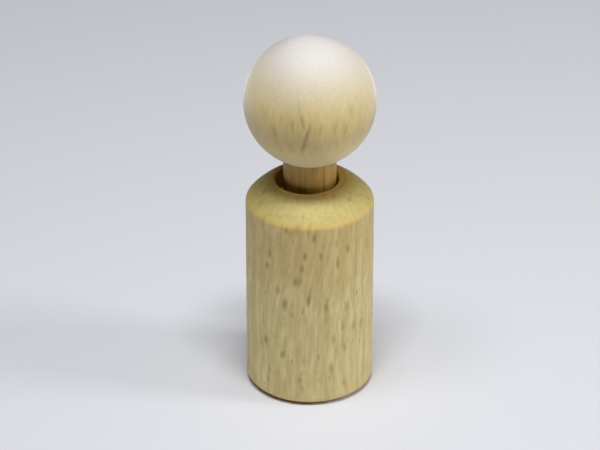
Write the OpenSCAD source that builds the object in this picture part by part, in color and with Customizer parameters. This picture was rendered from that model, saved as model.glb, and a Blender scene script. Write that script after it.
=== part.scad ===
// Wooden peg doll: a round body, a neck peg that stands in it, and a ball for a head.
// Millimetres, +Z up, with the origin at the centre of the face that the doll stands on.

/* [Body] */
// Diameter of the body
body_d = 30; // [29.5:0.5:60]
// Height of the body, from the table to its flat top
body_h = 53.5; // [36:0.5:120]
// How far the sloping shoulder comes in from the side
shoulder_w = 6.2; // [2:0.1:6.5]
// Height of the sloping shoulder
shoulder_h = 5.4; // [2:0.1:12]
// How far the shoulder swells past a straight bevel
shoulder_swell = 0.4; // [0.1:0.1:1.4]
// Bevel round the foot of the body
foot_bevel = 1.4; // [0.2:0.1:3]

/* [Neck] */
// Diameter of the neck peg
neck_d = 12.4; // [6:0.1:13]
// Length of the peg that stands in the body
neck_in_body = 18; // [8:0.5:30]
// Length of the peg that goes up into the head, from the lowest point of the ball
neck_in_head = 13; // [6:0.5:20]
// Bevel on both ends of the peg
neck_bevel = 0.8; // [0.2:0.1:2]
// Room all round the peg, in the body's hole and in the head's hole
neck_play = 0.05; // [0.02:0.01:0.1]

/* [Holes] */
// Mean gap round the neck at the wide mouth of the body's hole
mouth_gap = 1.2; // [0.9:0.1:1.5]
// How far the wide mouth lies off the neck's axis, to the left seen from the front
mouth_shift = 0.7; // [0:0.1:1]
// Depth of the wide mouth
mouth_depth = 5; // [0.5:0.5:6]
// Bevel on the rim of the wide mouth
mouth_bevel = 0.3; // [0.1:0.1:0.4]
// Bevel where the head's hole opens
head_hole_bevel = 0.4; // [0.1:0.1:1]
// Width of the mark that the drill's point leaves at the end of each hole
point_d = 2.2; // [1:0.1:4]
// Depth of that mark
point_h = 0.9; // [0.3:0.1:2]

/* [Head] */
// Diameter of the ball
head_d = 30.8; // [24:0.1:60]
// Distance from the body's flat top to the lowest point of the ball
head_gap = 5; // [1:0.5:15]

/* [Hidden] */
$fn = 128;
// How far a cut runs past the surface that it opens
overrun = 1;

body_r = body_d / 2;
flat_r = body_r - shoulder_w;
neck_r = neck_d / 2;
hole_r = neck_r + neck_play;
mouth_r = neck_r + mouth_gap;
head_r = head_d / 2;
head_foot_z = body_h + head_gap;
head_z = head_foot_z + head_r;
neck_foot_z = body_h - neck_in_body;
neck_top_z = head_foot_z + neck_in_head;
// Height at which the head's hole breaks out of the ball
head_rim_z = head_z - sqrt(pow(head_r, 2) - pow(hole_r, 2));

// The shoulder is an arc through both ends of its bevel. The bevel's length and the swell give its radius.
shoulder_l = norm([shoulder_w, shoulder_h]);
shoulder_r = (pow(shoulder_l / 2, 2) + pow(shoulder_swell, 2)) / (2 * shoulder_swell);
shoulder_mid = [body_r - shoulder_w / 2, body_h - shoulder_h / 2];
shoulder_tilt = atan2(shoulder_w, shoulder_h);

// What is turned away outside the shoulder's arc
module shoulder_waste() {
    translate(shoulder_mid)
        rotate(shoulder_tilt)
        difference() {
            translate([-shoulder_swell, -shoulder_l]) square([shoulder_swell + shoulder_l, 2 * shoulder_l]);
            translate([shoulder_swell - shoulder_r, 0]) circle(r = shoulder_r);
        }
}

// Half of the body's cross-section, without its hole
module body_outline() {
    difference() {
        polygon([
            [0, 0],
            [body_r - foot_bevel, 0],
            [body_r, foot_bevel],
            [body_r, body_h],
            [0, body_h]
        ]);
        shoulder_waste();
    }
}

// A hole for the neck that ends at z = 0 in the mark of the drill's point, and is h long
module neck_hole(h) {
    cylinder(r = hole_r, h = h);
    translate([0, 0, -point_h]) cylinder(r1 = 0, r2 = point_d / 2, h = point_h);
}

// The wide mouth of the body's hole, with its rim at z = 0
module mouth() {
    translate([0, 0, -mouth_depth]) cylinder(r = mouth_r, h = mouth_depth + overrun);
    translate([0, 0, -mouth_bevel])
        cylinder(r1 = mouth_r, r2 = mouth_r + mouth_bevel + overrun, h = mouth_bevel + overrun);
}

// Turned body with a swelling shoulder and a hole from above for the neck. The hole's mouth was opened a little
// off its axis.
module body() {
    color("#c2a873")
    difference() {
        rotate_extrude() body_outline();
        translate([0, 0, neck_foot_z]) neck_hole(neck_in_body + overrun);
        translate([-mouth_shift, 0, body_h]) mouth();
    }
}

// Peg of redder wood, bevelled at both ends
module neck_dowel() {
    color("#9c7a4a")
    translate([0, 0, neck_foot_z])
        rotate_extrude()
        polygon([
            [0, 0],
            [neck_r - neck_bevel, 0],
            [neck_r, neck_bevel],
            [neck_r, neck_top_z - neck_foot_z - neck_bevel],
            [neck_r - neck_bevel, neck_top_z - neck_foot_z],
            [0, neck_top_z - neck_foot_z]
        ]);
}

// Turned ball with a hole from below for the neck
module head_ball() {
    color("#d8c49a")
    difference() {
        translate([0, 0, head_z]) sphere(r = head_r);
        translate([0, 0, neck_top_z]) mirror([0, 0, 1]) neck_hole(neck_in_head + overrun);
        translate([0, 0, head_rim_z - overrun])
            cylinder(r1 = hole_r + head_hole_bevel + overrun, r2 = hole_r, h = head_hole_bevel + overrun);
    }
}

body();
neck_dowel();
head_ball();
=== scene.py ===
"""A turned wooden peg doll: a body, a neck peg that stands in it, and a ball for a head.

The CAD pieces hold the sizes and the joints. This script turns each piece again with softened edges,
dresses it in its wood and sets it on a pale floor under plain studio light. Places are in the CAD frame,
with +Z up and the camera on the -Y side. A name that ends in _mm holds millimetres, and what goes to
Blender is in metres.
"""
import logging
import math
from dataclasses import dataclass, field
from enum import Enum

import bpy
import numpy as np
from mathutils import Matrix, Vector


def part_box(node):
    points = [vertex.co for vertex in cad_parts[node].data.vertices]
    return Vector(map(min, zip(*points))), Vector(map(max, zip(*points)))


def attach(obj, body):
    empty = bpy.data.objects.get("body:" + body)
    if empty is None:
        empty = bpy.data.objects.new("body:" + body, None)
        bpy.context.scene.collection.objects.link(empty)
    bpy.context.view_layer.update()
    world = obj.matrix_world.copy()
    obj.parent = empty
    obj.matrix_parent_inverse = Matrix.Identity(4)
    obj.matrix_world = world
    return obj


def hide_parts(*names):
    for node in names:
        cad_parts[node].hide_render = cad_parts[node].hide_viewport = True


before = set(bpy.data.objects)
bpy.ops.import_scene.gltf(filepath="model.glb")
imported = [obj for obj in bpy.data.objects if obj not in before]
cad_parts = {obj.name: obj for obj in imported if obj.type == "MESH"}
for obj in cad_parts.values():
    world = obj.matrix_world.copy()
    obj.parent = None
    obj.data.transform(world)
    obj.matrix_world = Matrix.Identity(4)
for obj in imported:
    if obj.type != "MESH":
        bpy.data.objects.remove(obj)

log = logging.getLogger("peg_doll")
MM = 0.001
NECK_NODE = "neck_dowel"
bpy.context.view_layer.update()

# Linear red, green and blue, with alpha
Colour = tuple[float, float, float, float]
# One end of a link between two nodes
Socket = bpy.types.NodeSocket


# Colours

def linear(colour: str) -> Colour:
    """Turns an sRGB hex colour to the linear colour that shaders take.

    Args:
        colour: a colour such as "#c8a870".

    Returns:
        Red, green, blue and an alpha of 1.
    """
    shares = [int(colour[start:start + 2], 16) / 255 for start in (1, 3, 5)]
    # The numbers are those of the sRGB curve
    red, green, blue = (
        share / 12.92 if share <= 0.04045 else ((share + 0.055) / 1.055) ** 2.4 for share in shares
    )
    return (red, green, blue, 1.0)


# Turned shapes

# A bend below this angle, in radians, counts as straight
STRAIGHT = 1e-3
# The share of a stretch that the rounding at one of its ends may take, so that two never meet
ROUNDING_SHARE = 0.49
# A radius below this, in metres, is on the turning axis
ON_AXIS = 1e-9


@dataclass
class Outline:
    """Half of a turned piece's cross-section, drawn from one point to the next.

    Attributes:
        corners_mm: radius, height, shift along X of the turning centre, and rounding of each corner.
        shift_mm: the shift that the next corners get.
        round_steps: how many stretches an edge's rounding has.
        longest_step_mm: the length past which a stretch is divided.
        edge_step_mm: how near its ends a divided stretch has its outer points, for an even shading.
    """

    corners_mm: list[tuple[float, float, float, float]] = field(default_factory=list)
    shift_mm: float = 0.0
    round_steps: int = 6
    longest_step_mm: float = 0.7
    edge_step_mm: float = 0.05

    def to(self, radius_mm: float, height_mm: float, soft_mm: float = 0.0) -> "Outline":
        """Draws a straight line to a corner that is sanded to soft_mm, and gives the outline back."""
        self.corners_mm.append((radius_mm, height_mm, self.shift_mm, soft_mm))
        return self

    def centred_at(self, shift_mm: float) -> "Outline":
        """Turns the next corners about a centre off the axis along X, and gives the outline back."""
        self.shift_mm = shift_mm
        return self

    def swell_to(self, radius_mm: float, height_mm: float, swell_mm: float, soft_mm: float = 0.0,
                 chords: int = 5) -> "Outline":
        """Draws an arc to a corner.

        Args:
            radius_mm: the corner's distance from the turning axis.
            height_mm: the corner's height.
            swell_mm: how far the arc stands outside the straight line.
            soft_mm: the radius that its edge is sanded to.
            chords: how many straight stretches the arc has before they are rounded into each other.

        Returns:
            The outline, so that calls can follow each other.
        """
        start = np.array(self.corners_mm[-1][:2])
        end = np.array((radius_mm, height_mm))
        along = end - start
        half = np.linalg.norm(along) / 2
        outward = np.array((along[1], -along[0])) / (2 * half)
        arc_radius = (half ** 2 + swell_mm ** 2) / (2 * swell_mm)
        reach = math.asin(half / arc_radius)
        for step in range(1, chords):
            angle = reach * (2 * step / chords - 1)
            rise = arc_radius * (math.cos(angle) - 1) + swell_mm
            run = arc_radius * math.sin(angle)
            place = (start + end) / 2 + along / (2 * half) * run + outward * rise
            self.to(*place, soft_mm=arc_radius)
        return self.to(radius_mm, height_mm, soft_mm)

    def points_mm(self) -> np.ndarray:
        """Gives the outline with its edges rounded and its long stretches divided.

        Returns:
            Radius, height and shift of each point, one row each.
        """
        corners = [np.array(corner[:3]) for corner in self.corners_mm]
        soft_mm = [corner[3] for corner in self.corners_mm]
        rounded = [corners[0]]
        for before, corner, after, soft in zip(corners, corners[1:], corners[2:], soft_mm[1:]):
            rounded.extend(self._rounded_corner(before, corner, after, soft))
        rounded.append(corners[-1])
        points = [rounded[0]]
        for start, end in zip(rounded, rounded[1:]):
            points.extend(self._divided(start, end))
        return np.array(points)

    def _rounded_corner(self, before: np.ndarray, corner: np.ndarray, after: np.ndarray,
                        soft_mm: float) -> list[np.ndarray]:
        """Sands one corner round.

        Args:
            before: the corner before it.
            corner: the corner itself.
            after: the corner after it.
            soft_mm: the radius that it is sanded to.

        Returns:
            The points of the rounding, or the bare corner where it has none.
        """
        back, on = before - corner, after - corner
        back_length, on_length = np.linalg.norm(back), np.linalg.norm(on)
        back, on = back / back_length, on / on_length
        opening = math.acos(max(-1.0, min(1.0, float(back @ on))))
        if soft_mm <= 0 or math.pi - opening < STRAIGHT:
            return [corner]
        room = ROUNDING_SHARE * min(back_length, on_length)
        cut = min(soft_mm / math.tan(opening / 2), room)
        start, end = corner + back * cut, corner + on * cut
        steps = np.linspace(0, 1, self.round_steps + 1)[:, None]
        return list((1 - steps) ** 2 * start + 2 * steps * (1 - steps) * corner + steps ** 2 * end)

    def _divided(self, start: np.ndarray, end: np.ndarray) -> list[np.ndarray]:
        """Divides one stretch if it is long, with a point close to each of its ends.

        Args:
            start: where the stretch starts.
            end: where it ends.

        Returns:
            Its points, without the start and with the end.
        """
        length = float(np.linalg.norm(end - start))
        if length <= self.longest_step_mm:
            return [end]
        edge = self.edge_step_mm / length
        inner = np.linspace(edge, 1 - edge, max(2, math.ceil(length / self.longest_step_mm)))
        return [start + (end - start) * share for share in inner] + [end]


@dataclass(frozen=True)
class NeckHole:
    """A drilled hole for an end of the neck. The body and the head each have one.

    Attributes:
        radius_mm: its radius, with a little play round the neck.
        point_r_mm, point_h_mm: the radius and the depth of the mark of the drill's point at its end.
    """

    radius_mm: float = 6.25
    point_r_mm: float = 1.1
    point_h_mm: float = 0.9


@dataclass
class TurnedPiece:
    """One turned piece of the doll.

    Attributes:
        name: the piece's own name.
        node: the CAD node that it stands for.
        body: the body of the frame that it moves with.
        slot: the name of its material's slot; not used.
        segments: how many flat stretches make its round.
    """

    name: str
    node: str
    body: str
    slot: str
    segments: int = 192

    def outline(self) -> Outline:
        """Gives the piece's outline, from one of its ends on the axis to the other."""
        raise NotImplementedError

    def build(self, material: bpy.types.Material) -> bpy.types.Object:
        """Turns the piece, dresses it and hangs it on its body.

        Args:
            material: the piece's wood.

        Returns:
            The finished piece.
        """
        mesh = self._turn(self.outline().points_mm() * MM)
        mesh.materials.append(material)
        piece = bpy.data.objects.new(self.name, mesh)
        bpy.context.scene.collection.objects.link(piece)
        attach(piece, self.body)
        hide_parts(self.node)
        return piece

    def _turn(self, outline: np.ndarray) -> bpy.types.Mesh:
        """Turns an outline about the Z axis.

        Args:
            outline: radius, height and shift of each point, in metres.

        Returns:
            The closed mesh that it makes.
        """
        angles = np.linspace(0, 2 * math.pi, self.segments, endpoint=False)
        vertices: list[tuple[float, float, float]] = []
        rings: list[list[int]] = []
        for radius, height, shift in outline:
            first = len(vertices)
            if radius < ON_AXIS:
                vertices.append((shift, 0.0, height))
                rings.append([first])
                continue
            vertices.extend((shift + radius * math.cos(a), radius * math.sin(a), height) for a in angles)
            rings.append(list(range(first, first + self.segments)))
        faces: list[tuple[int, ...]] = []
        for low, high in zip(rings, rings[1:]):
            for i in range(self.segments):
                j = (i + 1) % self.segments
                if len(low) == 1:
                    faces.append((low[0], high[j], high[i]))
                elif len(high) == 1:
                    faces.append((low[i], low[j], high[0]))
                else:
                    faces.append((low[i], low[j], high[j], high[i]))
        mesh = bpy.data.meshes.new(self.name)
        mesh.from_pydata(vertices, [], faces)
        mesh.shade_smooth()
        mesh.validate()
        return mesh


@dataclass
class Body(TurnedPiece):
    """The doll's body, with its swelling shoulder, its bevelled foot and the hole for the neck.

    Attributes:
        shoulder_w_mm, shoulder_h_mm: how far the shoulder comes in from the side, and its height.
        shoulder_swell_mm: how far it swells past a straight bevel.
        foot_bevel_mm: the bevel round the foot.
        hole: the hole for the neck.
        mouth_r_mm, mouth_depth_mm: the radius and the depth of the hole's wide mouth.
        mouth_shift_mm: how far the mouth lies off the axis along X.
        mouth_bevel_mm: the bevel on the mouth's rim.
        ridge_soft_mm, rim_soft_mm: how round the shoulder's lower and upper edges are sanded.
        foot_soft_mm, hole_soft_mm: how round the foot's edges and those of the mouth are sanded.
    """

    name: str = "turned_body"
    node: str = "body"
    body: str = "body"
    slot: str = "body_wood"
    shoulder_w_mm: float = 6.2
    shoulder_h_mm: float = 5.4
    shoulder_swell_mm: float = 0.4
    foot_bevel_mm: float = 1.4
    hole: NeckHole = NeckHole()
    mouth_r_mm: float = 7.4
    mouth_depth_mm: float = 5.0
    mouth_shift_mm: float = -0.7
    mouth_bevel_mm: float = 0.3
    ridge_soft_mm: float = 1.6
    rim_soft_mm: float = 0.5
    foot_soft_mm: float = 1.6
    hole_soft_mm: float = 0.1

    def outline(self) -> Outline:
        """Gives the body's outline. Its radius, height and hole's end come from the CAD nodes.

        Returns:
            The outline, from the middle of the foot out and up, and down into the hole to its end, which
            carries the neck.
        """
        low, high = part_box(self.node)
        radius, foot, top = high.x / MM, low.z / MM, high.z / MM
        hole_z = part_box(NECK_NODE)[0].z / MM
        flat_r = radius - self.shoulder_w_mm
        mouth_z = top - self.mouth_depth_mm
        return (
            Outline()
            .to(0, foot)
            .to(radius - self.foot_bevel_mm, foot, self.foot_soft_mm)
            .to(radius, foot + self.foot_bevel_mm, self.foot_soft_mm)
            .to(radius, top - self.shoulder_h_mm, self.ridge_soft_mm)
            .swell_to(flat_r, top, self.shoulder_swell_mm, self.rim_soft_mm)
            .centred_at(self.mouth_shift_mm)
            .to(self.mouth_r_mm + self.mouth_bevel_mm, top, self.hole_soft_mm)
            .to(self.mouth_r_mm, top - self.mouth_bevel_mm, self.hole_soft_mm)
            .to(self.mouth_r_mm, mouth_z, self.hole_soft_mm)
            .centred_at(0.0)
            .to(self.hole.radius_mm, mouth_z, self.hole_soft_mm)
            .to(self.hole.radius_mm, hole_z)
            .to(self.hole.point_r_mm, hole_z)
            .to(0, hole_z - self.hole.point_h_mm)
        )


@dataclass
class Neck(TurnedPiece):
    """The peg that joins the head to the body.

    Attributes:
        bevel_mm: the bevel on both of its ends.
        bevel_soft_mm: how round the bevels' edges are sanded.
    """

    name: str = "neck_peg"
    node: str = NECK_NODE
    body: str = "neck"
    slot: str = "neck_wood"
    bevel_mm: float = 0.8
    bevel_soft_mm: float = 0.2

    def outline(self) -> Outline:
        """Gives the peg's outline. Its radius and ends come from the CAD node.

        Returns:
            The outline, from the middle of its foot to the middle of its top.
        """
        low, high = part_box(self.node)
        radius, foot, top = high.x / MM, low.z / MM, high.z / MM
        return (
            Outline()
            .to(0, foot)
            .to(radius - self.bevel_mm, foot, self.bevel_soft_mm)
            .to(radius, foot + self.bevel_mm, self.bevel_soft_mm)
            .to(radius, top - self.bevel_mm, self.bevel_soft_mm)
            .to(radius - self.bevel_mm, top, self.bevel_soft_mm)
            .to(0, top)
        )


@dataclass
class Head(TurnedPiece):
    """The ball that is the doll's head, with the hole that the neck goes up into.

    Attributes:
        hole: the hole for the neck.
        hole_bevel_w_mm, hole_bevel_h_mm: the width and the height of the bevel where the hole opens.
        arcs: how many stretches the ball's half circle has.
    """

    name: str = "head"
    node: str = "head_ball"
    body: str = "head"
    slot: str = "head_wood"
    hole: NeckHole = NeckHole()
    hole_bevel_w_mm: float = 0.28
    hole_bevel_h_mm: float = 0.4
    arcs: int = 112

    def outline(self) -> Outline:
        """Gives the ball's outline. Its radius, top and hole's end come from the CAD nodes.

        Returns:
            The outline, from the end of the hole, which rests on the neck, down and round to the crown.
        """
        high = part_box(self.node)[1]
        radius, crown = high.x / MM, high.z / MM
        middle = crown - radius
        hole_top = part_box(NECK_NODE)[1].z / MM
        hole_rim = middle - math.sqrt(radius ** 2 - self.hole.radius_mm ** 2)
        outline = (
            Outline(longest_step_mm=2 * math.pi * radius / self.arcs)
            .to(0, hole_top + self.hole.point_h_mm)
            .to(self.hole.point_r_mm, hole_top)
            .to(self.hole.radius_mm, hole_top)
            .to(self.hole.radius_mm, hole_rim + self.hole_bevel_h_mm)
        )
        start = -math.acos((self.hole.radius_mm + self.hole_bevel_w_mm) / radius)
        for angle in np.linspace(start, math.pi / 2, self.arcs)[:-1]:
            outline.to(radius * math.cos(angle), middle + radius * math.sin(angle))
        return outline.to(0, crown)


# Woods

class Grain(Enum):
    """How strongly a wood's growth rings show."""

    FAINT = 0.22
    PLAIN = 0.45


@dataclass(frozen=True)
class Mark:
    """One dark fleck that the turned surface shows, seen from outside.

    Attributes:
        azimuth_deg: where it lies round the piece, from the front to the doll's left hand.
        height_mm: the height of its middle.
        width_mm, length_mm: its size across and along the fibres.
        lean_deg: how far its top leans to the right.
        faint: 0 for a mark as dark as the wood's marks get, and nearly 1 for one that hardly shows.
    """

    azimuth_deg: float
    height_mm: float
    width_mm: float
    length_mm: float
    lean_deg: float = 0.0
    faint: float = 0.0


@dataclass(frozen=True)
class Band:
    """A change of colour at one height, all round the piece, such as painted shade or a painted
    highlight.

    Attributes:
        height_mm: where it shows most.
        reach_mm: how far above and below that it has gone.
        colour: its colour.
        share: how much of the colour shows.
        grain_share: how strongly the dark lines of the wood show through it.
        ragged_mm: how far its edge runs along the fibres.
    """

    height_mm: float
    reach_mm: float
    colour: str
    share: float
    grain_share: float = 0.0
    ragged_mm: float = 0.0


@dataclass(frozen=True)
class Wood:
    """A turned and sanded wood. Its fibres run along the turning axis.

    Attributes:
        name: the material's name.
        pale, deep: the early and the late part of a growth ring.
        fleck, fleck_share: the colour of the rays' cut ends, and how much of it shows.
        end, end_share: the colour of the fibres' cut ends, and how much of it shows there.
        grain: how strongly the growth rings show.
        ring_mm: the width of one growth ring.
        pith_mm: where the tree's middle is, across the fibres.
        drift_mm, bend_mm: over what length the fibres wander, and how far.
        ray_mm: the spacing of the rays round, out from and along the tree.
        fibre_mm, fibre_share: the width of the fine lines along the fibres, and how much of them shows.
        streak_mm, streak_share: the same for the broad lines.
        ior, roughness: of its surface.
        roughness_spread: how far the roughness changes with the fibres.
        relief_mm, relief_share: how high the fibres stand after sanding, and how much of that shows.
        fuzz, fuzz_roughness: how much light the raised fibres catch at a glancing angle, and how widely.
        lean_deg: how far the fibres lean to the right of the turning axis, seen from the front.
        surface_mm: how far from the turning axis the marks lie.
        marks, mark_share: the single dark flecks, and how dark they are.
        bands: its changes of colour by height, painted light and shade among them, the lowest first.
        seed: sets its own draw of every pattern.
    """

    name: str
    pale: str
    deep: str
    fleck: str
    end: str
    grain: Grain
    fleck_share: float = 0.42
    end_share: float = 0.75
    ring_mm: float = 2.6
    pith_mm: tuple[float, float] = (14.0, 62.0)
    drift_mm: float = 28.6
    bend_mm: float = 5.0
    ray_mm: tuple[float, float, float] = (2.5, 3.2, 6.4)
    fibre_mm: float = 0.5
    fibre_share: float = 0.16
    streak_mm: float = 1.5
    streak_share: float = 0.5
    ior: float = 1.5
    roughness: float = 0.55
    roughness_spread: float = 0.06
    relief_mm: float = 0.03
    relief_share: float = 0.3
    fuzz: float = 0.0
    fuzz_roughness: float = 0.5
    lean_deg: float = 0.0
    surface_mm: float = 15.0
    marks: tuple[Mark, ...] = ()
    mark_share: float = 0.5
    bands: tuple[Band, ...] = ()
    seed: float = 0.0


# Beech, turned and sanded but not oiled: warm and pale, with short soft flecks where the rays are cut.
# Its upper side is browner and its shoulder's ridge golden. Its flat top has painted shade: a warm brown
# where the head's shadow falls. Its foot's bevel has a redder colour painted over its contact shade,
# which tints that shade brown.
BODY_BEECH = Wood(
    name="beech_turned_and_sanded",
    pale="#f7e6a5",
    deep="#ceaf63",
    fleck="#926724",
    end="#e1dc85",
    grain=Grain.FAINT,
    fleck_share=0.5,
    end_share=0.6,
    ray_mm=(1.9, 2.6, 5.8),
    streak_mm=1.0,
    lean_deg=4.0,
    mark_share=0.62,
    marks=(
        Mark(4, 46, 1.1, 3.4, 4), Mark(-4, 41, 1.2, 2.8), Mark(-7, 37.5, 1.2, 2.8, 5),
        Mark(-13, 34, 1.0, 2.8, 5), Mark(-23, 27.5, 1.5, 3.6, 6), Mark(-1, 29, 1.1, 3.0, 8),
        Mark(-38, 40, 1.3, 2.6), Mark(-41, 36.5, 1.4, 2.2), Mark(10, 41, 1.1, 2.4),
        Mark(26, 38.5, 1.2, 3.4), Mark(36, 41.5, 1.2, 2.6), Mark(15, 27, 1.2, 3.0),
        Mark(47, 28.5, 1.2, 2.6, 0, 0.4),
        Mark(31, 21, 1.1, 3.8, -4, 0.3), Mark(33, 15, 1.1, 3.4, -3, 0.3), Mark(-25, 13.5, 1.4, 2.6, 12),
        Mark(-43, 16, 1.5, 2.4), Mark(-16, 25, 1.0, 2.6, 8, 0.4), Mark(8, 13.5, 1.0, 3.2, 0, 0.4),
        Mark(-7, 9, 1.0, 2.6, 0, 0.5), Mark(18, 7.5, 1.0, 2.6, 0, 0.5), Mark(-16, 12, 1.1, 2.6, 8, 0.5),
        Mark(-21, 47.5, 1.2, 1.8),
    ),
    # Foot's bevel (painted shade), upper side, shoulder's ridge, flat top (painted shade)
    bands=(
        Band(0.0, 2.2, "#eebf92", 0.7),
        Band(43.0, 18.0, "#c8963c", 0.26),
        Band(48.3, 1.5, "#e2b95e", 0.3),
        Band(53.5, 1.8, "#cc984a", 0.5),
    ),
    seed=1.0,
)

# The palest beech, sanded with a fine grit that raised its fibres: matt, with a soft bloom where the
# surface turns away. Its crown is painted nearly white, a painted highlight where the light falls
# strongest, which fades to the wood through a painted cream zone.
HEAD_BEECH = Wood(
    name="pale_beech_turned_and_sanded",
    pale="#eed488",
    deep="#dabb70",
    fleck="#9c7838",
    end="#ddc67a",
    grain=Grain.FAINT,
    fleck_share=0.34,
    ring_mm=3.1,
    pith_mm=(-44.0, 16.0),
    ray_mm=(2.4, 3.4, 8.0),
    roughness=0.7,
    fuzz=0.8,
    mark_share=0.65,
    marks=(
        Mark(-10, 80, 0.9, 6.8, -12), Mark(-6.5, 76.8, 1.2, 5.0, -12), Mark(-2.5, 73.2, 1.0, 6.4, 15),
        Mark(-5.5, 70.2, 1.1, 4.6, 12), Mark(22, 74.6, 1.8, 4.6, 6, 0.6),
        Mark(32, 73.5, 1.3, 6.0, 14, 0.55), Mark(-25, 76.5, 1.4, 6.0, 0, 0.6),
        Mark(-15, 75.5, 1.3, 5.6, 0, 0.5), Mark(9, 74.5, 1.2, 6.4, 6, 0.55),
        Mark(-33, 73.5, 6.0, 8.0, 0, 0.85),
    ),
    # The painted highlight: a cream zone and a nearly white crown
    bands=(
        Band(82.0, 9.0, "#e4d08f", 0.7, 0.12),
        Band(91.0, 15.5, "#e0dede", 1.0, 0.12, 0.8),
    ),
    seed=7.0,
)

# A sanded rod of redder heartwood: plain dark lines along it, and painted shade where it enters the
# body.
NECK_BEECH = Wood(
    name="red_beech_rod_sanded",
    pale="#d3ab4f",
    deep="#b4863a",
    fleck="#785222",
    end="#9a7038",
    grain=Grain.PLAIN,
    ring_mm=1.9,
    pith_mm=(-20.0, 30.0),
    ray_mm=(1.1, 2.0, 5.0),
    streak_mm=0.9,
    streak_share=0.35,
    surface_mm=6.2,
    marks=(Mark(32, 55, 1.1, 14.0), Mark(-10, 56, 0.9, 10.0, 0, 0.4)),
    # Painted shade where it goes into the body
    bands=(Band(52.6, 2.6, "#5e3c1c", 0.35),),
    seed=13.0,
)


# Drawing a wood's figure and colours

# Across one growth ring, outwards from the pith: the share of its width, and how dark it is there. It
# darkens slowly to the late wood and pales quickly into the next ring.
RING_CURVE = ((0.0, 0.3), (0.15, 0.0), (0.6, 0.15), (0.9, 1.0), (1.0, 0.3))
# A noise texture lies between the first two of these nearly everywhere, round the third
NOISE_LOW = 0.3
NOISE_HIGH = 0.7
NOISE_MIDDLE = 0.5
# The value at which a fine fibre is at its darkest
FIBRE_HIGH = 0.8
# How many times as long as it is wide a line along the fibres is, and how finely it is broken up
LINE_LENGTH = 9.0
LINE_DETAIL = 3.0
LINE_ROUGHNESS = 0.55
# How upright the surface's normal is where the fibres' cut ends start to show, and where they all do
END_LOW = 0.3
END_HIGH = 0.7
# How far a ray reaches from the middle of its cell, in cells
RAY_REACH = 0.6
# Each ray draws a lot from 0 to 1. Up to the first of these it is at its faintest, and from the second
# at full strength.
RAY_LOTS = (0.1, 0.9)
RAY_FAINTEST = 0.1
# The small rays' size and strength, as shares of the large ones'
SMALL_RAY_SIZE_SHARE = 0.55
SMALL_RAY_SHARE = 0.5
# How deep the rays are sanded out, as a share of the fibres' height
RAY_RELIEF_SHARE = 0.6
# How far a mark fades out, as a share of half its size
MARK_REACH_SHARE = 1.4
# What the streaks and the small rays add to the wood's seed
STREAK_SEED = 5.0
SMALL_RAY_SEED = 3.0


class Edge(Enum):
    """How a layer's colour comes in from none to all of it."""

    SOFT = "SMOOTHSTEP"
    STRAIGHT = "LINEAR"


@dataclass(frozen=True)
class Layer:
    """A colour that shows where a pattern has it.

    Attributes:
        colour: the colour, or the socket that gives it.
        pattern: the socket that gives the pattern's value.
        none_at, full_at: the pattern's value where the colour is missing, and where it shows most.
        share: how much of it shows there.
        edge: how it comes in between the two.
    """

    colour: Colour | Socket
    pattern: Socket
    none_at: float
    full_at: float
    share: float
    edge: Edge = Edge.SOFT


@dataclass(frozen=True)
class Figure:
    """The sockets that give a wood's figure at each place.

    Attributes:
        rings: how dark the place is within its growth ring, from 0 to 1.
        fibres, streaks: the fine and the broad lines along the fibres.
        rays, small_rays: the cut ends of the rays, from 0 to 1.
    """

    rings: Socket
    fibres: Socket
    streaks: Socket
    rays: Socket
    small_rays: Socket


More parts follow.
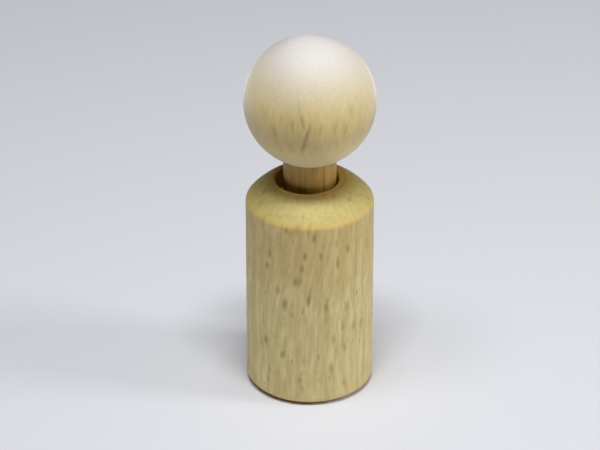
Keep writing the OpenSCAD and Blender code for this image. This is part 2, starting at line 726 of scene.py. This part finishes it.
@dataclass
class WoodDresser:
    """Builds the node tree of one wood, as a solid block that the turned surface cuts through.

    Attributes:
        wood: the wood.
        tree: the node tree, once material has been called.
    """

    wood: Wood
    tree: bpy.types.NodeTree = field(init=False)

    def material(self) -> bpy.types.Material:
        """Builds the wood's material.

        Returns:
            A material whose pattern lies in the piece as it was turned, and moves with it.
        """
        material = bpy.data.materials.new(self.wood.name)
        material.use_nodes = True
        self.tree = material.node_tree
        self.tree.nodes.clear()
        place = self._add("ShaderNodeTexCoord", {}).outputs
        block = self._add("ShaderNodeVectorMath", {0: place["Object"], "Scale": 1 / MM},
                          operation="SCALE").outputs[0]
        figure = self._figure(block)
        layers = self._layers(block, place["Normal"], figure)
        shader = self._add("ShaderNodeBsdfPrincipled", {
            "Base Color": self._laid(linear(self.wood.pale), layers),
            "Roughness": self._roughness(figure),
            "Normal": self._relief(figure),
            "IOR": self.wood.ior,
            "Sheen Weight": self.wood.fuzz,
            "Sheen Roughness": self.wood.fuzz_roughness,
        })
        self._add("ShaderNodeOutputMaterial", {"Surface": shader.outputs[0]})
        return material

    def _add(self, kind: str, inputs: dict[str | int, Socket | float | tuple[float, ...]],
             **settings: str) -> bpy.types.Node:
        """Adds one node, with its settings, its values and its links.

        Args:
            kind: the node's type, such as "ShaderNodeMath".
            inputs: socket name or number to a value, or to the output socket that feeds it.
            **settings: properties of the node, such as operation="ADD".

        Returns:
            The new node.
        """
        node = self.tree.nodes.new(kind)
        for name, setting in settings.items():
            setattr(node, name, setting)
        for name, value in inputs.items():
            if isinstance(value, Socket):
                self.tree.links.new(value, node.inputs[name])
            else:
                node.inputs[name].default_value = value
        return node

    def _figure(self, block: Socket) -> Figure:
        """Works out the wood's figure.

        Args:
            block: the place in the turned block, in millimetres.

        Returns:
            The figure.
        """
        wood = self.wood
        in_tree, outward = self._in_tree(block)
        small_mm = tuple(SMALL_RAY_SIZE_SHARE * size for size in wood.ray_mm)
        return Figure(
            rings=self._rings(outward),
            fibres=self._lines(in_tree, wood.fibre_mm, wood.seed),
            streaks=self._lines(in_tree, wood.streak_mm, wood.seed + STREAK_SEED),
            rays=self._rays(in_tree, wood.ray_mm, wood.seed),
            small_rays=self._rays(in_tree, small_mm, wood.seed + SMALL_RAY_SEED),
        )

    def _layers(self, block: Socket, normal: Socket, figure: Figure) -> list[Layer]:
        """Lists what colours the wood, over its pale early wood.

        Args:
            block: the place in the turned block, in millimetres.
            normal: the piece's own surface normal.
            figure: the wood's figure.

        Returns:
            The layers, the lowest first: late wood, streaks, cut ends, fibres, rays, marks and bands.
        """
        wood = self.wood
        deep, fleck, end = linear(wood.deep), linear(wood.fleck), linear(wood.end)
        facing = self._add("ShaderNodeSeparateXYZ", {0: normal})
        upright = self._add("ShaderNodeMath", {0: facing.outputs["Z"]}, operation="ABSOLUTE")
        layers = [
            Layer(deep, figure.rings, 0.0, 1.0, wood.grain.value, Edge.STRAIGHT),
            Layer(deep, figure.streaks, NOISE_LOW, NOISE_HIGH, wood.streak_share),
            Layer(end, upright.outputs[0], END_LOW, END_HIGH, wood.end_share),
            Layer(fleck, figure.fibres, NOISE_LOW, FIBRE_HIGH, wood.fibre_share),
            Layer(fleck, figure.small_rays, 0.0, 1.0, SMALL_RAY_SHARE * wood.fleck_share, Edge.STRAIGHT),
            Layer(fleck, figure.rays, 0.0, 1.0, wood.fleck_share, Edge.STRAIGHT),
        ]
        if wood.marks:
            layers.append(Layer(fleck, self._from_marks(block), MARK_REACH_SHARE, 0.0, wood.mark_share))
        for band in wood.bands:
            lines = Layer(fleck, figure.fibres, NOISE_LOW, FIBRE_HIGH, band.grain_share)
            tint = self._laid(linear(band.colour), [lines])
            away = self._from_band(block, figure.streaks, band)
            layers.append(Layer(tint, away, band.reach_mm, 0.0, band.share))
        return layers

    def _laid(self, colour: Colour | Socket, layers: list[Layer]) -> Socket:
        """Lays colours over a first one, each over those before it.

        Args:
            colour: the colour under them all.
            layers: the colours that go over it, the lowest first.

        Returns:
            The colour that the eye sees.
        """
        for layer in layers:
            shows = self._add("ShaderNodeMapRange", {
                "Value": layer.pattern, "From Min": layer.none_at, "From Max": layer.full_at,
                "To Min": 0.0, "To Max": layer.share,
            }, interpolation_type=layer.edge.value)
            over = self._add("ShaderNodeMix", {0: shows.outputs[0], 6: colour, 7: layer.colour},
                             data_type="RGBA")
            colour = over.outputs[2]
        return colour

    def _roughness(self, figure: Figure) -> Socket:
        """Makes the surface a little rougher on the dark fibres than between them.

        Args:
            figure: the wood's figure.

        Returns:
            The roughness at each place.
        """
        wood = self.wood
        return self._add("ShaderNodeMapRange", {
            "Value": figure.fibres, "From Min": NOISE_LOW, "From Max": NOISE_HIGH,
            "To Min": wood.roughness - wood.roughness_spread,
            "To Max": wood.roughness + wood.roughness_spread,
        }, interpolation_type=Edge.SOFT.value).outputs[0]

    def _relief(self, figure: Figure) -> Socket:
        """Raises the fibres and sinks the rays, as sanding does.

        Args:
            figure: the wood's figure.

        Returns:
            The surface normal with that relief.
        """
        height = self._add("ShaderNodeMath", {0: figure.rays, 1: -RAY_RELIEF_SHARE, 2: figure.fibres},
                           operation="MULTIPLY_ADD")
        return self._add("ShaderNodeBump", {
            "Height": height.outputs[0], "Strength": self.wood.relief_share,
            "Distance": self.wood.relief_mm * MM,
        }).outputs[0]

    def _in_tree(self, block: Socket) -> tuple[Socket, Socket]:
        """Turns a place in the turned block to one in the tree that the wood was cut from.

        Args:
            block: the place, in millimetres.

        Returns:
            The place round, out from and along the tree, and its distance from the pith alone.
        """
        wood = self.wood
        leaning = self._add("ShaderNodeMapping", {
            "Vector": block, "Rotation": (0.0, math.radians(-wood.lean_deg), 0.0),
        }, vector_type="POINT").outputs[0]
        drift = self._add("ShaderNodeTexNoise", {
            "Vector": leaning, "Scale": 1 / wood.drift_mm, "Detail": 1.0, "W": wood.seed,
        }, noise_dimensions="4D")
        bend = self._add("ShaderNodeVectorMath", {0: drift.outputs["Color"], 1: (NOISE_MIDDLE,) * 3},
                         operation="SUBTRACT")
        bent = self._add("ShaderNodeVectorMath", {
            0: bend.outputs[0], 1: (wood.bend_mm, wood.bend_mm, 0.0), 2: leaning,
        }, operation="MULTIPLY_ADD")
        from_pith = self._add("ShaderNodeVectorMath", {0: bent.outputs[0], 1: (*wood.pith_mm, 0.0)},
                              operation="SUBTRACT")
        axes = self._add("ShaderNodeSeparateXYZ", {0: from_pith.outputs[0]}).outputs
        flat = self._add("ShaderNodeCombineXYZ", {"X": axes["X"], "Y": axes["Y"]})
        outward = self._add("ShaderNodeVectorMath", {0: flat.outputs[0]},
                            operation="LENGTH").outputs["Value"]
        turn = self._add("ShaderNodeMath", {0: axes["X"], 1: axes["Y"]}, operation="ARCTAN2")
        around = self._add("ShaderNodeMath", {0: turn.outputs[0], 1: math.hypot(*wood.pith_mm)},
                           operation="MULTIPLY").outputs[0]
        in_tree = self._add("ShaderNodeCombineXYZ", {"X": around, "Y": outward, "Z": axes["Z"]})
        return in_tree.outputs[0], outward

    def _rings(self, outward: Socket) -> Socket:
        """Draws the growth rings.

        Args:
            outward: the distance from the pith.

        Returns:
            How dark the ring is at each place, from 0 to 1.
        """
        count = self._add("ShaderNodeMath", {0: outward, 1: 1 / self.wood.ring_mm}, operation="MULTIPLY")
        share = self._add("ShaderNodeMath", {0: count.outputs[0]}, operation="FRACT")
        curve = self._add("ShaderNodeFloatCurve", {"Value": share.outputs[0]})
        points = curve.mapping.curves[0].points
        points[0].location = RING_CURVE[0]
        points[1].location = RING_CURVE[-1]
        for place in RING_CURVE[1:-1]:
            points.new(*place)
        curve.mapping.update()
        return curve.outputs[0]

    def _lines(self, in_tree: Socket, across_mm: float, seed: float) -> Socket:
        """Draws soft lines along the fibres.

        Args:
            in_tree: the place in the tree.
            across_mm: the width of a line.
            seed: the number that sets where they lie.

        Returns:
            The lines' darkness at each place.
        """
        per_mm = (1 / across_mm, 1 / across_mm, 1 / (LINE_LENGTH * across_mm))
        place = self._add("ShaderNodeVectorMath", {0: in_tree, 1: per_mm}, operation="MULTIPLY")
        return self._add("ShaderNodeTexNoise", {
            "Vector": place.outputs[0], "Scale": 1.0, "W": seed,
            "Detail": LINE_DETAIL, "Roughness": LINE_ROUGHNESS,
        }, noise_dimensions="4D").outputs["Fac"]

    def _rays(self, in_tree: Socket, cell_mm: tuple[float, ...], seed: float) -> Socket:
        """Draws the cut ends of the rays: a spindle in most cells of a stretched and jittered lattice.

        Args:
            in_tree: the place in the tree.
            cell_mm: the size of a cell round, out from and along the tree.
            seed: the number that sets where they lie.

        Returns:
            How strongly a ray shows at each place, from 0 to 1.
        """
        per_mm = tuple(1 / size for size in cell_mm)
        # The seed moves the lattice by another step along each axis
        steps = (seed, 2 * seed, 3 * seed)
        cell = self._add("ShaderNodeVectorMath", {0: in_tree, 1: per_mm, 2: steps},
                         operation="MULTIPLY_ADD")
        near = self._add("ShaderNodeTexVoronoi", {
            "Vector": cell.outputs[0], "Scale": 1.0, "Randomness": 1.0,
        }, voronoi_dimensions="3D", feature="F1", distance="MANHATTAN").outputs
        spindle = self._add("ShaderNodeMapRange", {
            "Value": near["Distance"], "From Min": 0.0, "From Max": RAY_REACH,
            "To Min": 1.0, "To Max": 0.0,
        }, interpolation_type=Edge.SOFT.value)
        lot = self._add("ShaderNodeSeparateXYZ", {0: near["Color"]})
        strength = self._add("ShaderNodeMapRange", {
            "Value": lot.outputs["X"], "From Min": RAY_LOTS[0], "From Max": RAY_LOTS[1],
            "To Min": RAY_FAINTEST, "To Max": 1.0,
        }, interpolation_type=Edge.SOFT.value)
        return self._add("ShaderNodeMath", {0: spindle.outputs[0], 1: strength.outputs[0]},
                         operation="MULTIPLY").outputs[0]

    def _from_marks(self, block: Socket) -> Socket:
        """Measures how far off the nearest mark is, each a soft spot that runs straight into the wood.

        Args:
            block: the place in the turned block, in millimetres.

        Returns:
            The distance from its middle, where 1 is the mark's edge and a faint mark counts as farther.
        """
        nearest = None
        far_mm = self.wood.surface_mm
        for mark in self.wood.marks:
            azimuth = math.radians(mark.azimuth_deg)
            local = self._add("ShaderNodeMapping", {
                "Vector": block,
                "Location": (far_mm * math.sin(azimuth), -far_mm * math.cos(azimuth), mark.height_mm),
                "Rotation": (0.0, math.radians(mark.lean_deg), azimuth),
                "Scale": (mark.width_mm / 2, far_mm / 2, mark.length_mm / 2),
            }, vector_type="TEXTURE")
            away = self._add("ShaderNodeVectorMath", {0: local.outputs[0]},
                             operation="LENGTH").outputs["Value"]
            if mark.faint:
                away = self._add("ShaderNodeMath", {0: away, 1: mark.faint}, operation="ADD").outputs[0]
            if nearest is not None:
                away = self._add("ShaderNodeMath", {0: nearest, 1: away},
                                 operation="MINIMUM").outputs[0]
            nearest = away
        return nearest

    def _from_band(self, block: Socket, streaks: Socket, band: Band) -> Socket:
        """Measures how far a place is above or below a band's height.

        Args:
            block: the place in the turned block, in millimetres.
            streaks: the broad lines along the fibres, which a ragged band follows.
            band: the band.

        Returns:
            The distance in millimetres.
        """
        height = self._add("ShaderNodeSeparateXYZ", {0: block}).outputs["Z"]
        above = self._add("ShaderNodeMath", {0: height, 1: band.height_mm}, operation="SUBTRACT")
        away = self._add("ShaderNodeMath", {0: above.outputs[0]}, operation="ABSOLUTE").outputs[0]
        if not band.ragged_mm:
            return away
        run = self._add("ShaderNodeMapRange", {
            "Value": streaks, "From Min": NOISE_LOW, "From Max": NOISE_HIGH,
            "To Min": -band.ragged_mm / 2, "To Max": band.ragged_mm / 2,
        }, interpolation_type=Edge.SOFT.value)
        return self._add("ShaderNodeMath", {0: away, 1: run.outputs[0]}, operation="ADD").outputs[0]


# Studio

@dataclass(frozen=True)
class Lamp:
    """A flat softbox that looks at the doll's middle.

    Attributes:
        name: its name.
        azimuth_deg, elevation_deg: how far to the right of the camera's side and how high up it hangs.
        distance_mm: how far it is from the doll's middle.
        side_mm: its width, and its size towards the doll.
        watts: its power.
        colour: the colour of its light.
    """

    name: str
    azimuth_deg: float
    elevation_deg: float
    distance_mm: float
    side_mm: tuple[float, float]
    watts: float
    colour: str = "#ffffff"


@dataclass
class Studio:
    """The floor, the light and the camera round the doll.

    Attributes:
        foot_elevation_deg: how steeply the camera looks down at the middle of the doll's foot, as the
            photograph's did.
        foot_distance_mm: how far the camera is from there.
        aim_mm: the place that it aims at.
        lens_mm, sensor_mm: its focal length, and the width of its sensor.
        near_mm, far_mm: the nearest and the farthest that it sees.
        look_mm: the doll's middle, which the lamps look at.
        floor_mm, floor_colour, floor_roughness: the floor's side, and its finish.
        world_colour, world_strength: the even light from all round.
        lamps: the softboxes.
    """

    foot_elevation_deg: float = 32.44
    foot_distance_mm: float = 943.3
    aim_mm: tuple[float, float, float] = (-2.29, 0.0, 40.8)
    lens_mm: float = 236.0
    sensor_mm: float = 36.0
    near_mm: float = 10.0
    far_mm: float = 20000.0
    look_mm: tuple[float, float, float] = (0.0, 0.0, 45.0)
    floor_mm: float = 6000.0
    floor_colour: str = "#e4e6ed"
    floor_roughness: float = 0.8
    world_colour: str = "#eef0f6"
    world_strength: float = 0.02
    lamps: tuple[Lamp, ...] = (
        Lamp("ceiling_softbox", 0, 88, 620, (140, 140), 0.95),
        Lamp("front_ceiling_softbox", 6, 75, 620, (220, 80), 2.12),
        Lamp("right_softbox", 80, 30, 620, (140, 140), 1.06),
        Lamp("left_ceiling_softbox", -62, 70, 620, (140, 140), 0.48),
    )

    def build(self) -> None:
        """Builds the floor, the lamps, the world and the camera."""
        scene = bpy.context.scene
        scene.view_settings.view_transform = "Standard"
        self._floor()
        self._world(scene)
        for lamp in self.lamps:
            self._lamp(lamp)
        self._camera(scene)

    def _place(self, azimuth_deg: float, elevation_deg: float, distance_mm: float) -> Vector:
        """Turns a direction and a distance to a place.

        Args:
            azimuth_deg: how far to the right of the camera's side it is.
            elevation_deg: how far above the floor.
            distance_mm: how far away.

        Returns:
            The place from there, in metres.
        """
        azimuth, elevation = math.radians(azimuth_deg), math.radians(elevation_deg)
        flat = math.cos(elevation)
        toward = Vector((math.sin(azimuth) * flat, -math.cos(azimuth) * flat, math.sin(elevation)))
        return toward * distance_mm * MM

    def _floor(self) -> None:
        """Lays the pale floor, which isn't part of the doll."""
        half = self.floor_mm * MM / 2
        corners = [(-half, -half, 0), (half, -half, 0), (half, half, 0), (-half, half, 0)]
        mesh = bpy.data.meshes.new("floor")
        mesh.from_pydata(corners, [], [(0, 1, 2, 3)])
        material = bpy.data.materials.new("pale_matt_floor")
        material.use_nodes = True
        shader = material.node_tree.nodes["Principled BSDF"]
        shader.inputs["Base Color"].default_value = linear(self.floor_colour)
        shader.inputs["Roughness"].default_value = self.floor_roughness
        mesh.materials.append(material)
        floor = bpy.data.objects.new("floor", mesh)
        bpy.context.scene.collection.objects.link(floor)

    def _world(self, scene: bpy.types.Scene) -> None:
        """Sets the even light that comes from all round.

        Args:
            scene: the scene that gets it.
        """
        world = bpy.data.worlds.new("studio")
        world.use_nodes = True
        background = world.node_tree.nodes["Background"]
        background.inputs["Color"].default_value = linear(self.world_colour)
        background.inputs["Strength"].default_value = self.world_strength
        scene.world = world

    def _lamp(self, lamp: Lamp) -> None:
        """Hangs one softbox.

        Args:
            lamp: the softbox.
        """
        light = bpy.data.lights.new(lamp.name, "AREA")
        light.shape = "RECTANGLE"
        light.size, light.size_y = (side * MM for side in lamp.side_mm)
        light.energy = lamp.watts
        light.color = linear(lamp.colour)[:3]
        holder = bpy.data.objects.new(lamp.name, light)
        look = Vector(self.look_mm) * MM
        holder.location = look + self._place(lamp.azimuth_deg, lamp.elevation_deg, lamp.distance_mm)
        holder.rotation_euler = (look - holder.location).to_track_quat("-Z", "Y").to_euler()
        bpy.context.scene.collection.objects.link(holder)

    def _camera(self, scene: bpy.types.Scene) -> None:
        """Sets up the camera at the photograph's viewing angle.

        Args:
            scene: the scene that it looks at.
        """
        data = bpy.data.cameras.new("camera")
        data.sensor_width = self.sensor_mm
        data.lens = self.lens_mm
        data.clip_start = self.near_mm * MM
        data.clip_end = self.far_mm * MM
        camera = bpy.data.objects.new("camera", data)
        camera.location = self._place(0, self.foot_elevation_deg, self.foot_distance_mm)
        aim = Vector(self.aim_mm) * MM
        camera.rotation_euler = (aim - camera.location).to_track_quat("-Z", "Y").to_euler()
        scene.collection.objects.link(camera)
        scene.camera = camera


def main() -> None:
    """Builds the doll and its studio, and reports each piece."""
    logging.basicConfig(level=logging.INFO, format="%(name)s: %(message)s")
    for turned, wood in ((Body(), BODY_BEECH), (Neck(), NECK_BEECH), (Head(), HEAD_BEECH)):
        piece = turned.build(WoodDresser(wood).material())
        log.info("%s: %d faces, in %s", piece.name, len(piece.data.polygons), wood.name)
    Studio().build()


if __name__ == "__main__":
    main()
